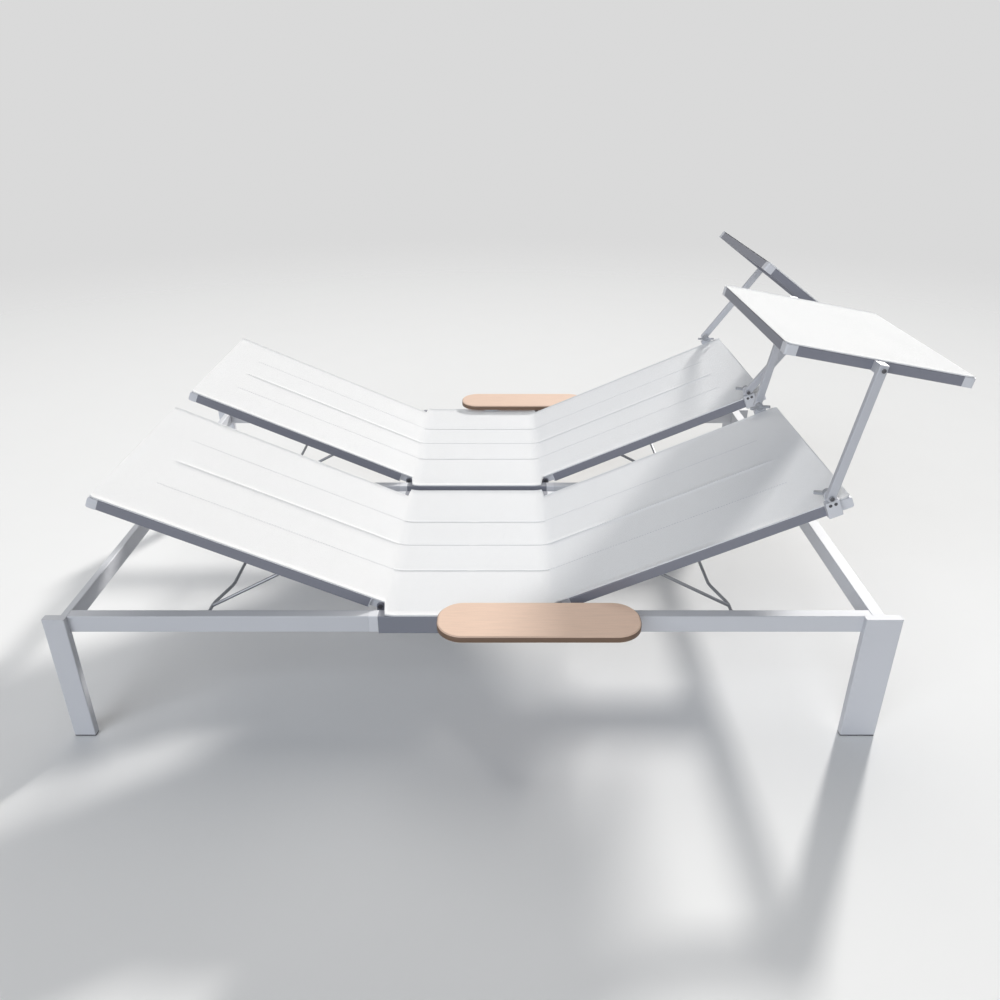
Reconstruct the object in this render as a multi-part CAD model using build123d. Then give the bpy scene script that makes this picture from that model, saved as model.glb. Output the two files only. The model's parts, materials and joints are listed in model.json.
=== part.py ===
from build123d import *
import math
import os

# Double chaise lounger. Millimetres. X runs from the foot end to the head end, Y from the
# near lounger to the far one, Z up from the floor.

# Base frame
base_length = 2000.0
base_height = 350.0
lounger_width = 664.0
lounger_gap = 34.0
tube_wall = 2.0
tube_bevel = 1.6
beam_width = 28.0
beam_height = 44.0
end_rail_inset = 35.0
foot_rail_width = 18.0
head_rail_width = 32.0
head_leg_width = 86.0
leg_depth = 20.0
leg_reach = 14.0
glide_thickness = 4.0
glide_inset = 1.0
glide_plug_height = 12.0
plug_gap = 0.2

# Seat
seat_foot_x = -222.0
seat_length = 429.0
seat_rail_drop = 4.0
connector_length = 22.0
spigot_length = 50.0
spreader_width = 20.0
spreader_height = 24.0
spreader_inset = 14.0
spreader_below_rail_top = 12.0

# Slings
sling_thickness = 4.0
sling_gap = 0.3
sling_corner = 12.0
sling_hinge_margin = 12.0
sling_end_margin = 1.0
seam_shares = (0.27, 0.5, 0.73)
seam_start_margin = 95.0
seam_width = 4.0
seam_depth = 1.2

# Hinged sections: the leg rest and the back rest
section_side_gap = 48.0
side_rail_width = 20.0
side_rail_depth = 26.0
leg_rest_length = 698.0
back_rest_length = 704.0
leg_rest_angle = 23.7
back_rest_angle = 23.5
leg_rest_top_angle = 32.0
back_rest_top_angle = 42.0
leg_cap_length = 23.0
back_cap_length = 40.0
cap_corner = 5.0
cross_tube_width = 20.0
cross_tube_depth = 20.0
cross_tube_start = 34.0
end_tube_setback = 2.0

# Hinges
hinge_below_top = 4.6
rail_start = 28.0
tongue_plug = 12.0
tongue_flange = 3.0
tongue_thickness = 8.0
tongue_radius = 9.0
tongue_inset = 6.6
ear_thickness = 4.0
ear_radius = 8.0
ear_gap = 0.6
hinge_pin_radius = 4.0
hinge_pin_head_radius = 6.5
hinge_pin_head = 2.5
running_gap = 0.08

# Stays that prop the sections up, and the notched guides that their feet run in
stay_rod_radius = 4.0
stay_arm_inset = 10.0
stay_bend_reach = 6.0
stay_crank_reach = 42.0
stay_crank_width = 57.0
stay_crank_inset = 10.0
stay_pivot_along = 230.0
stay_pivot_drop = 5.0
stay_pivot_depth = 16.0
stay_foot_drop = 22.0
stay_stow_drop = 22.7
stay_reach = 412.0
stay_end_gap = 0.5
guide_thickness = 4.0
guide_margin = 8.0
guide_end_margin = 14.0
guide_clearance = 1.0
notch_depth = 3.0
notch_pitch = 26.0
path_steps = 24

# Sunshades
shade_pivot_along = 658.0
shade_pivot_rise = 38.4
shade_arm_width = 20.0
shade_arm_depth = 15.0
shade_arm_length = 298.0
near_shade_angle = 10.4
far_shade_angle = 35.8
shade_side_inset = 14.0
shade_foot_reach = 200.0
shade_head_reach = 217.0
shade_rail_width = 20.0
shade_rail_depth = 22.0
shade_cap_length = 26.0
shade_fabric_thickness = 3.0
shade_fabric_corner = 14.0
saddle_width = 32.0
saddle_ear_thickness = 3.6
saddle_ear_radius = 12.0
saddle_lip_thickness = 2.0
saddle_lip_width = 14.0
saddle_cheek_depth = 12.0
arm_side_gap = 0.4
arm_seat_gap = 1.0
bolt_head_height = 4.0
bolt_head_radius = 6.0

# Wing knobs
knob_stud_radius = 4.0
knob_hub_radius = 10.0
knob_hub_length = 14.0
knob_gap = 0.5
wing_reach = 28.0
wing_root = 2.0
wing_tip = 5.0
wing_rise = 17.0
wing_thickness = 6.0
near_wing_angle = 6.0
far_wing_angle = 0.0

# Side tables
table_length = 462.0
table_width = 136.0
table_thickness = 16.0
table_corner = 60.0
table_edge_bevel = 2.5
table_rise = 8.0
table_inboard = 24.0
table_centre_x = 152.0
bracket_spacing = 240.0
bracket_width = 50.0
bracket_thickness = 3.0
bracket_slide_gap = 0.5
bracket_arm_reach = 84.0
bracket_lip = 22.0

# Placing of what repeats
half_length = base_length / 2
lounger_pitch = lounger_width + lounger_gap
lounger_centres = {"near": -lounger_pitch / 2, "far": lounger_pitch / 2}
outer_y = lounger_pitch / 2 + lounger_width / 2 + leg_reach
foot_leg_width = end_rail_inset + foot_rail_width
foot_beam_x = -half_length + foot_leg_width
head_beam_x = half_length - end_rail_inset - head_rail_width
head_leg_x = half_length - head_leg_width
seat_head_x = seat_foot_x + seat_length
beam_centre_z = base_height - beam_height / 2
beam_offset = lounger_width / 2 - beam_width / 2
beam_inner = lounger_width / 2 - beam_width
section_width = lounger_width - 2 * section_side_gap
rail_outer = section_width / 2
rail_inner = rail_outer - side_rail_width
half_depth = side_rail_depth / 2
hinge_height = base_height - hinge_below_top
stay_foot_height = base_height - stay_foot_drop
stay_stow_height = base_height - stay_stow_drop
shade_width = section_width - 2 * shade_side_inset
table_underside = base_height + table_rise
shade_angles = {"near": near_shade_angle, "far": far_shade_angle}
wing_angles = {"near": near_wing_angle, "far": far_wing_angle}


def block(x_span, y_span, z_span):
    """Plain block between pairs of coordinates."""
    size = [abs(span[1] - span[0]) for span in (x_span, y_span, z_span)]
    middle = [(span[0] + span[1]) / 2 for span in (x_span, y_span, z_span)]
    return Pos(*middle) * Box(*size)


def bevelled(width, height):
    """Rectangle with small bevels at its corners, as drawn tubes and plates have."""
    return chamfer(Rectangle(width, height).vertices(), tube_bevel)


def tube(length, width, height):
    """Rectangular tube along X from the origin, centred on its section."""
    outside = bevelled(width, height)
    inside = Rectangle(width - 2 * tube_wall, height - 2 * tube_wall)
    return extrude(Plane.YZ * (outside - inside), length)


def tube_across(length, width, height):
    """Rectangular tube along Y, centred on the origin."""
    return Rot(0, 0, 90) * Pos(-length / 2, 0, 0) * tube(length, width, height)


def rod_across(radius, y_from, y_to, x=0.0, z=0.0):
    """Round bar along Y between two places."""
    length = abs(y_to - y_from)
    return Pos(x, (y_from + y_to) / 2, z) * Rot(90, 0, 0) * Cylinder(radius, length)


def both_sides(shape):
    """A piece and its mirror image across the middle of the lounger."""
    return [shape, mirror(shape, about=Plane.XZ)]


def raised(along, rise, angle):
    """Place in X and Z of a point of a section that is raised about its hinge."""
    turn = math.radians(angle)
    x = along * math.cos(turn) - rise * math.sin(turn)
    z = along * math.sin(turn) + rise * math.cos(turn)
    return x, z


class Section:
    """A leg rest or back rest, drawn towards +X from its hinge axis and then set in place."""

    def __init__(self, name, length, cap_length, angle, top_angle, hinge_x, flipped):
        self.name = name
        self.length = length
        self.cap_length = cap_length
        self.angle = angle
        self.top_angle = top_angle
        self.hinge_x = hinge_x
        self.flipped = flipped

    def stand(self, shape, lounger):
        """Sets a piece drawn about the hinge on the base, without raising it."""
        turned = mirror(shape, about=Plane.YZ) if self.flipped else shape
        return Pos(self.hinge_x, lounger_centres[lounger], hinge_height) * turned

    def put(self, shape, lounger):
        """Raises a piece of the section to its angle and sets it in place."""
        return self.stand(Rot(0, -self.angle, 0) * shape, lounger)

    def stay_rest(self):
        """Pivot and foot of the stay at rest, its length and its slope."""
        pivot = raised(stay_pivot_along, -stay_pivot_drop, self.angle)
        foot = (stay_reach, stay_foot_height - hinge_height)
        length = math.hypot(foot[0] - pivot[0], pivot[1] - foot[1])
        slope = math.degrees(math.atan2(pivot[1] - foot[1], foot[0] - pivot[0]))
        return pivot, foot, length, slope

    def stay_ratio(self):
        """Degrees that the stay's slope grows for each degree that the section is raised."""
        length, slope = self.stay_rest()[2:]
        fall = hinge_height - stay_pivot_drop - stay_stow_height
        flat_slope = math.degrees(math.asin(fall / length))
        return (slope - flat_slope) / self.angle

    def foot_path(self):
        """Places of the stay's foot from the flat section to the highest one."""
        length, slope = self.stay_rest()[2:]
        ratio = self.stay_ratio()
        places = []
        for step in range(path_steps + 1):
            angle = self.top_angle * step / path_steps
            pivot = raised(stay_pivot_along, -stay_pivot_drop, angle)
            lean = math.radians(slope + ratio * (angle - self.angle))
            places.append((pivot[0] + length * math.cos(lean), pivot[1] - length * math.sin(lean)))
        return places


leg_rest = Section("leg", leg_rest_length, leg_cap_length, leg_rest_angle, leg_rest_top_angle,
                   seat_foot_x, True)
back_rest = Section("back", back_rest_length, back_cap_length, back_rest_angle,
                    back_rest_top_angle, seat_head_x, False)
sections = (leg_rest, back_rest)


def leg_post(width, x_outer, end):
    """Flat tubular leg with a closed top, open below for its glide."""
    x_span = (x_outer, x_outer - end * width)
    low = min(x_span)
    post = block((low, low + width), (-outer_y, -outer_y + leg_depth), (glide_thickness, base_height))
    post = chamfer(post.edges().filter_by(Axis.Z), tube_bevel)
    inner_x = (low + tube_wall, low + width - tube_wall)
    inner_y = (-outer_y + tube_wall, -outer_y + leg_depth - tube_wall)
    return post - block(inner_x, inner_y, (0, base_height - tube_wall))


def leg_glide(width, x_outer, end):
    """Foot pad with a plug that fills the mouth of the leg."""
    x_span = (x_outer, x_outer - end * width)
    low = min(x_span)
    pad = block((low + glide_inset, low + width - glide_inset),
                (-outer_y + glide_inset, -outer_y + leg_depth - glide_inset), (0, glide_thickness))
    inset = tube_wall + plug_gap
    plug = block((low + inset, low + width - inset), (-outer_y + inset, -outer_y + leg_depth - inset),
                 (glide_thickness, glide_thickness + glide_plug_height))
    return pad + plug


def end_rail(width, x_outer, end):
    """Rail across an end of the base, between the backs of its two legs."""
    length = 2 * (outer_y - leg_depth)
    x_middle = x_outer - end * (end_rail_inset + width / 2)
    return Pos(x_middle, 0, beam_centre_z) * tube_across(length, width, beam_height)


def beams(lounger, x_span, drop=0.0):
    """The pair of side beams of a lounger between two places along X."""
    height = beam_height + drop
    length = x_span[1] - x_span[0]
    centre_z = base_height - height / 2
    post = block((head_leg_x, half_length), (outer_y - leg_depth, outer_y), (0, base_height))
    posts = [post, mirror(post, about=Plane.XZ)]
    made = []
    for side in (-1, 1):
        y = lounger_centres[lounger] + side * beam_offset
        beam = Pos(x_span[0], y, centre_z) * tube(length, beam_width, height)
        for leg in posts:
            beam = beam - leg
        made.append(beam)
    return made


def beam_connectors():
    """Cast blocks between the side beams and the seat rails, with a spigot into each tube."""
    cast = extrude(Plane.YZ * bevelled(beam_width, beam_height), connector_length)
    width = beam_width - 2 * (tube_wall + plug_gap)
    height = beam_height - 2 * (tube_wall + plug_gap)
    spigot = tube(2 * spigot_length + connector_length, width, height)
    connector = cast + Pos(-spigot_length, 0, 0) * spigot
    made = []
    for centre_y in lounger_centres.values():
        for side in (-1, 1):
            for x in (seat_foot_x - connector_length, seat_head_x):
                made.append(Pos(x, centre_y + side * beam_offset, beam_centre_z) * connector)
    return made


def seat_spreaders(lounger):
    """Cross tubes of the seat, one beside each hinge line."""
    z = base_height - spreader_below_rail_top - spreader_height / 2
    step = spreader_inset + spreader_width / 2
    tube_piece = tube_across(2 * beam_inner, spreader_width, spreader_height)
    return [Pos(x, lounger_centres[lounger], z) * tube_piece
            for x in (seat_foot_x + step, seat_head_x - step)]


def sling(length, width, start, seam_start, seam_end):
    """Taut fabric panel with its sewn lines, its underside at Z zero, from start along X."""
    outline = Pos(start + length / 2, 0) * RectangleRounded(length, width, sling_corner)
    panel = extrude(outline, sling_thickness)
    line = Pos((seam_start + seam_end) / 2, 0, sling_thickness) * Box(
        seam_end - seam_start, seam_width, 2 * seam_depth)
    for share in seam_shares:
        panel = panel - Pos(0, (share - seam_shares[1]) * section_width, 0) * line
    return panel


def seat_sling(lounger):
    """Fabric of the seat, which wraps over both seat rails."""
    start = seat_foot_x + sling_hinge_margin
    end = seat_head_x - sling_hinge_margin
    panel = sling(end - start, lounger_width, start, start, end)
    return Pos(0, lounger_centres[lounger], base_height + sling_gap) * panel


def hinge_ear():
    """Ear on the seat spreader that carries the hinge pin, drawn about the hinge axis."""
    spreader_face = -spreader_inset
    top = base_height - spreader_below_rail_top - hinge_height
    low = top - spreader_height / 2
    y_from = -rail_outer + tongue_inset - ear_gap - ear_thickness
    outline = Polyline((spreader_face, low), (ear_radius, low), (ear_radius, ear_radius / 2),
                       (ear_radius / 2, ear_radius), (-ear_radius / 2, ear_radius),
                       (spreader_face, 0), close=True)
    ear = extrude(Plane.XZ * make_face(outline), -ear_thickness)
    ear = Pos(0, y_from, 0) * ear
    return ear - rod_across(hinge_pin_radius, -rail_outer, -rail_inner)


def hinge_pin():
    """Hexagon-headed pin through the ear and the tongue of a side rail."""
    y_ear = -rail_outer + tongue_inset - ear_gap - ear_thickness
    y_end = -rail_outer + tongue_inset + tongue_thickness + hinge_pin_head
    shank = rod_across(hinge_pin_radius, y_ear, y_end)
    head = extrude(Plane.XZ * RegularPolygon(hinge_pin_head_radius, 6), hinge_pin_head)
    return shank + Pos(0, y_ear, 0) * head


def hinge_tongues():
    """Cast ends of the side rails: a plug in the tube, a flange and the eye on the hinge pin."""
    y = -rail_outer + side_rail_width / 2
    inset = 2 * (tube_wall + plug_gap)
    plug = Pos(rail_start + tongue_plug / 2, y, 0) * Box(
        tongue_plug, side_rail_width - inset, side_rail_depth - inset)
    flange = extrude(Plane.YZ * bevelled(side_rail_width, side_rail_depth), tongue_flange)
    flange = Pos(rail_start - tongue_flange, y, 0) * flange
    y_tongue = (-rail_outer + tongue_inset, -rail_outer + tongue_inset + tongue_thickness)
    bar = block((0, rail_start - tongue_flange), y_tongue, (-tongue_radius, tongue_radius))
    eye = rod_across(tongue_radius, *y_tongue)
    tongue = plug + flange + bar + eye
    return both_sides(tongue - rod_across(hinge_pin_radius + running_gap, *y_tongue))


def side_rails(section):
    """Side rails of a section, each with the bore for the stay."""
    length = section.length - section.cap_length - rail_start
    y = -rail_outer + side_rail_width / 2
    rail = Pos(rail_start, y, 0) * tube(length, side_rail_width, side_rail_depth)
    bore = rod_across(stay_rod_radius + running_gap, -rail_inner - 2 * tube_wall,
                      -rail_inner + tube_wall, stay_pivot_along, -stay_pivot_drop)
    return both_sides(rail - bore)


def cross_tubes(section):
    """Cross tube beside the hinge and the tube across the free end."""
    span = 2 * rail_inner
    x_cross = cross_tube_start + cross_tube_width / 2
    x_end = section.length - end_tube_setback - cross_tube_width / 2
    bar = tube_across(span, cross_tube_width, cross_tube_depth)
    return [Pos(x_cross, 0, 0) * bar, Pos(x_end, 0, 0) * bar]


def corner_caps(section):
    """Cast caps that close the side rails at the free end."""
    x_span = (section.length - section.cap_length, section.length)
    cap = block(x_span, (-rail_outer, -rail_inner), (-half_depth, half_depth))
    tip = cap.edges().filter_by(Axis.Y).sort_by(Axis.X)[-2:]
    cap = fillet(tip, cap_corner)
    spigot = block((x_span[0] - section.cap_length, x_span[0]),
                   (-rail_outer + tube_wall + plug_gap, -rail_inner - tube_wall - plug_gap),
                   (-half_depth + tube_wall + plug_gap, half_depth - tube_wall - plug_gap))
    return both_sides(cap + spigot)


def section_sling(section):
    """Fabric of a section, laid over its side rails and its end tube."""
    start = sling_hinge_margin
    end = section.length - sling_end_margin
    panel = sling(end - start, section_width, start, start, end - seam_start_margin)
    return Pos(0, 0, half_depth + sling_gap) * panel


def bent_rod(points):
    """Round rod along a line of points, each corner bent in two equal steps."""
    corners = [Vector(*point) for point in points]
    line = [corners[0]]
    for before, corner, after in zip(corners, corners[1:], corners[2:]):
        line.append(corner + (before - corner).normalized() * stay_bend_reach)
        line.append(corner + (after - corner).normalized() * stay_bend_reach)
    route = Polyline(*line, corners[-1])
    profile = Plane(origin=route @ 0, z_dir=route % 0) * Circle(stay_rod_radius)
    return sweep(profile, path=route, transition=Transition.RIGHT)


def stay(section):
    """Bent-rod stay: a cranked bar between the guides and two arms that end in the side rails."""
    pivot, foot, length = section.stay_rest()[:3]
    y_arm = -rail_inner + stay_arm_inset
    y_pin = -rail_inner - stay_pivot_depth
    bar_end = beam_inner - stay_end_gap
    arm = bent_rod([(pivot[0], y_pin, pivot[1]), (pivot[0], y_arm, pivot[1]),
                    (foot[0], y_arm, foot[1])])
    share = stay_crank_reach / length
    crank = (foot[0] + (pivot[0] - foot[0]) * share, foot[1] + (pivot[1] - foot[1]) * share)
    y_crank = y_arm + stay_crank_inset
    half = [(foot[0], -bar_end, foot[1]), (foot[0], y_crank, foot[1]),
            (crank[0], y_crank + stay_crank_width, crank[1])]
    other_half = [(x, -y, z) for x, y, z in reversed(half)]
    bar = bent_rod(half + other_half)
    return bar + arm + mirror(arm, about=Plane.XZ)


def stay_guides(section):
    """Notched plates on the beams that the two ends of a stay run in."""
    path = section.foot_path()
    x_low = min(place[0] for place in path)
    x_high = max(place[0] for place in path)
    z_low = min(place[1] for place in path)
    z_high = max(place[1] for place in path)
    radius = stay_rod_radius + guide_clearance
    slot_low = z_low - radius
    slot_high = z_high + radius
    end = radius + guide_end_margin
    plate = Pos((x_low + x_high) / 2, (slot_low + slot_high) / 2) * bevelled(
        x_high - x_low + 2 * end, slot_high - slot_low + 2 * guide_margin)
    slot = Pos((x_low + x_high) / 2, (slot_low + slot_high) / 2) * RectangleRounded(
        x_high - x_low + 2 * radius, slot_high - slot_low, radius)
    plate = plate - slot
    first = -int((stay_reach - x_low) // notch_pitch)
    last = int((x_high - stay_reach) // notch_pitch)
    for place in range(first, last + 1):
        centre = (stay_reach + place * notch_pitch, slot_low + radius - notch_depth)
        plate = plate - Pos(*centre) * Circle(radius)
    guide = extrude(Plane.XZ * plate, -guide_thickness)
    return both_sides(Pos(0, -beam_inner, 0) * guide)


def saddle():
    """Bracket on a side rail of the back rest: an ear for the shade arm and a cheek below it."""
    x_span = (shade_pivot_along - saddle_width / 2, shade_pivot_along + saddle_width / 2)
    y_ear = (-rail_outer - saddle_ear_thickness, -rail_outer)
    y_cheek = (y_ear[0] - saddle_cheek_depth, y_ear[0])
    low = -half_depth - saddle_lip_thickness
    ear = block(x_span, y_ear, (low, shade_pivot_rise - saddle_ear_radius))
    waist = block((shade_pivot_along - saddle_ear_radius, shade_pivot_along + saddle_ear_radius),
                  y_ear, (0, shade_pivot_rise))
    head = rod_across(saddle_ear_radius, *y_ear, shade_pivot_along, shade_pivot_rise)
    cheek_top = shade_pivot_rise - shade_arm_width / 2 - arm_seat_gap
    cheek = block(x_span, y_cheek, (-half_depth, cheek_top))
    cheek = chamfer(cheek.edges().filter_by(Axis.Y), tube_bevel)
    lip = block(x_span, (-rail_outer, -rail_outer + saddle_lip_width), (low, -half_depth))
    bore = rod_across(knob_stud_radius + running_gap, *y_ear, shade_pivot_along, shade_pivot_rise)
    return ear + waist + head + cheek + lip - bore


def shade_arm():
    """Arm of a shade about its pivot, with the bracket that holds the shade rail."""
    y_inner = -rail_outer - saddle_ear_thickness - arm_side_gap
    y_span = (y_inner - shade_arm_depth + arm_side_gap, y_inner)
    half = shade_arm_width / 2
    top = shade_arm_length + shade_rail_depth / 2
    outline = block((-half, half), y_span, (0, top))
    outline = chamfer(outline.edges().filter_by(Axis.Z), tube_bevel)
    eye = rod_across(half, *y_span)
    bracket = block((-half, half), (y_inner, -shade_width / 2),
                    (shade_arm_length - shade_rail_depth / 2, top))
    bolt = rod_across(bolt_head_radius, y_span[0] - bolt_head_height, y_span[0], 0, shade_arm_length)
    bore = rod_across(knob_stud_radius + running_gap, *y_span)
    return outline + eye + bracket + bolt - bore


def shade_rails():
    """Tubes of the shade frame between its corner caps."""
    side_length = shade_foot_reach + shade_head_reach - 2 * shade_cap_length
    side = Pos(-shade_foot_reach + shade_cap_length, (shade_rail_width - shade_width) / 2,
               shade_arm_length) * tube(side_length, shade_rail_width, shade_rail_depth)
    across = tube_across(shade_width - 2 * shade_cap_length, shade_rail_width, shade_rail_depth)
    ends = [Pos(-shade_foot_reach + shade_rail_width / 2, 0, shade_arm_length) * across,
            Pos(shade_head_reach - shade_rail_width / 2, 0, shade_arm_length) * across]
    return both_sides(side) + ends


def shade_corners():
    """Corner pieces of the shade frame."""
    half = shade_rail_depth / 2
    z_span = (shade_arm_length - half, shade_arm_length + half)
    y_low = -shade_width / 2
    made = []
    for x_tip, way in ((-shade_foot_reach, 1), (shade_head_reach, -1)):
        x_end = x_tip + way * shade_cap_length
        along = block((min(x_tip, x_end), max(x_tip, x_end)), (y_low, y_low + shade_rail_width), z_span)
        x_side = x_tip + way * shade_rail_width
        across = block((min(x_tip, x_side), max(x_tip, x_side)), (y_low, y_low + shade_cap_length), z_span)
        corner = along + across
        upright = corner.edges().filter_by(Axis.Z)
        outer = upright.sort_by_distance((x_tip, y_low, shade_arm_length))[0]
        made += both_sides(fillet(outer, cap_corner))
    return made


def shade_fabric():
    """Fabric stretched over the shade frame."""
    length = shade_foot_reach + shade_head_reach
    outline = RectangleRounded(length, shade_width, shade_fabric_corner)
    z = shade_arm_length + shade_rail_depth / 2 + sling_gap
    return Pos((shade_head_reach - shade_foot_reach) / 2, 0, z) * extrude(outline, shade_fabric_thickness)


def wing_knob(lounger):
    """Stud and knob with two flared lobes that clamp a shade arm, drawn about the pivot axis."""
    y_ear = -rail_outer
    y_arm = -rail_outer - saddle_ear_thickness - shade_arm_depth
    stud = rod_across(knob_stud_radius, y_arm - knob_gap, y_ear + knob_gap)
    head = rod_across(bolt_head_radius, y_arm - knob_gap - bolt_head_height, y_arm - knob_gap)
    hub = rod_across(knob_hub_radius, y_ear + knob_gap, y_ear + knob_gap + knob_hub_length)
    tip = (wing_reach - wing_tip, wing_rise)
    lobe = make_face(Polyline((0, wing_root), (tip[0], tip[1] - wing_tip), (tip[0], tip[1] + wing_tip),
                              (0, knob_hub_length), close=True))
    lobe = lobe + Pos(*tip) * Circle(wing_tip)
    lobes = Pos(0, 0, -wing_thickness / 2) * extrude(lobe + mirror(lobe, about=Plane.YZ), wing_thickness)
    lobes = Rot(0, -wing_angles[lounger], 0) * Pos(0, y_ear + knob_gap, 0) * lobes
    return stud + head + hub + lobes


def table_top():
    """Rounded table top with an eased edge, its underside at Z zero."""
    slab = extrude(RectangleRounded(table_length, table_width, table_corner), table_thickness)
    return chamfer(slab.edges().group_by(Axis.Z)[-1], table_edge_bevel)


def table_brackets():
    """Bent strips that hook round the outer beam and carry the table top."""
    beam_face = leg_reach - outer_y
    rail_bottom = base_height - beam_height - seat_rail_drop
    arm_end = beam_face - bracket_arm_reach
    leaf_face = beam_face - bracket_slide_gap
    strip_top = table_underside
    strip_low = rail_bottom - bracket_slide_gap
    x_span = (-bracket_width / 2, bracket_width / 2)
    shelf = block(x_span, (arm_end, beam_face + table_inboard), (strip_top - bracket_thickness, strip_top))
    leaf = block(x_span, (leaf_face - bracket_thickness, leaf_face),
                 (strip_low - bracket_thickness, strip_top))
    lip = block(x_span, (leaf_face - bracket_thickness, leaf_face + bracket_lip),
                (strip_low - bracket_thickness, strip_low))
    bracket = shelf + leaf + lip
    bracket = chamfer(bracket.edges().filter_by(Axis.X).sort_by_distance(
        (0, leaf_face - bracket_thickness, strip_low - bracket_thickness))[0], tube_bevel)
    return [Pos(x, 0, 0) * bracket for x in (-bracket_spacing / 2, bracket_spacing / 2)]


nodes = {}


def build_base():
    """Legs, rails, seat and hinge carriers, which stay still."""
    ends = (("foot", foot_leg_width, foot_rail_width, -half_length, -1),
            ("head", head_leg_width, head_rail_width, half_length, 1))
    glides = []
    for name, leg_width, rail_width, x_outer, end in ends:
        post = leg_post(leg_width, x_outer, end)
        nodes[name + "_leg_near"] = [post]
        nodes[name + "_leg_far"] = [mirror(post, about=Plane.XZ)]
        glides += both_sides(leg_glide(leg_width, x_outer, end))
        nodes[name + "_end_rail"] = [end_rail(rail_width, x_outer, end)]
    nodes["leg_glides"] = glides
    for lounger in lounger_centres:
        nodes["foot_beams_" + lounger] = beams(lounger, (foot_beam_x, seat_foot_x - connector_length))
        nodes["seat_rails_" + lounger] = beams(lounger, (seat_foot_x, seat_head_x), seat_rail_drop)
        nodes["head_beams_" + lounger] = beams(lounger, (seat_head_x + connector_length, head_beam_x))
        nodes["seat_spreaders_" + lounger] = seat_spreaders(lounger)
        nodes["seat_sling_" + lounger] = [seat_sling(lounger)]
    nodes["beam_connectors"] = beam_connectors()
    nodes["hinge_ears"] = on_hinges(hinge_ear())
    nodes["hinge_pins"] = on_hinges(hinge_pin())
    for section in sections:
        nodes[section.name + "_stay_guides"] = [
            section.stand(plate, lounger) for lounger in lounger_centres
            for plate in stay_guides(section)]


def on_hinges(shape):
    """A hinge piece at each of the four hinge lines, on both sides."""
    return [section.stand(piece, lounger) for section in sections
            for lounger in lounger_centres for piece in both_sides(shape)]


def build_section(section, lounger):
    """One leg rest or back rest with its stay."""
    label = section.name + "_"
    for name, pieces in (("side_rails", side_rails(section)), ("cross_tubes", cross_tubes(section)),
                         ("hinge_tongues", hinge_tongues()), ("corner_caps", corner_caps(section)),
                         ("sling", [section_sling(section)])):
        nodes[label + name + "_" + lounger] = [section.put(piece, lounger) for piece in pieces]
    nodes[label + "stay_" + lounger] = [section.stand(stay(section), lounger)]


def build_shade(lounger):
    """Saddles, knobs and the sunshade of one lounger."""
    nodes["shade_saddles_" + lounger] = [back_rest.put(piece, lounger) for piece in both_sides(saddle())]
    pivot_x, pivot_z = raised(shade_pivot_along, shade_pivot_rise, back_rest.angle)
    knob = Pos(pivot_x, 0, pivot_z) * wing_knob(lounger)
    for side, piece in zip(("left", "right"), both_sides(knob)):
        nodes["wing_knob_" + lounger + "_" + side] = [back_rest.stand(piece, lounger)]
    pose = Pos(pivot_x, 0, pivot_z) * Rot(0, shade_angles[lounger], 0)
    for name, pieces in (("arms", both_sides(shade_arm())), ("rails", shade_rails()),
                         ("corners", shade_corners()), ("fabric", [shade_fabric()])):
        nodes["shade_" + name + "_" + lounger] = [
            back_rest.stand(pose * piece, lounger) for piece in pieces]


def build_tables():
    """The two side tables on the outer beams."""
    y_top = leg_reach - outer_y + table_inboard - table_width / 2
    near = {"table_top": [Pos(0, y_top, table_underside) * table_top()],
            "table_brackets": table_brackets()}
    for name, pieces in near.items():
        pieces = [Pos(table_centre_x, 0, 0) * piece for piece in pieces]
        nodes[name + "_near"] = pieces
        nodes[name + "_far"] = [mirror(piece, about=Plane.XZ) for piece in pieces]


def centre_of_box():
    """Middle along X of everything, which is where the origin goes."""
    boxes = [piece.bounding_box() for pieces in nodes.values() for piece in pieces]
    return (min(box.min.X for box in boxes) + max(box.max.X for box in boxes)) / 2


def main():
    """Builds every node, moves the origin to the middle of the footprint and writes the files."""
    build_base()
    for lounger in lounger_centres:
        for section in sections:
            build_section(section, lounger)
        build_shade(lounger)
    build_tables()
    middle = centre_of_box()
    os.makedirs("parts", exist_ok=True)
    for name, pieces in nodes.items():
        solids = [Pos(-middle, 0, 0) * solid for piece in pieces for solid in piece.solids()]
        shape = solids[0] if len(solids) == 1 else Compound(children=solids)
        export_step(shape, "parts/" + name + ".step")
    print(len(nodes), "nodes, origin moved along X by", round(middle, 3))


main()
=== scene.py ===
"""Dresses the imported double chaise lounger: its sling cloth, finishes, small parts, studio and camera."""
import json
import logging
import math
from dataclasses import dataclass
from enum import Enum
from typing import Callable, Iterable, Sequence

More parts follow.
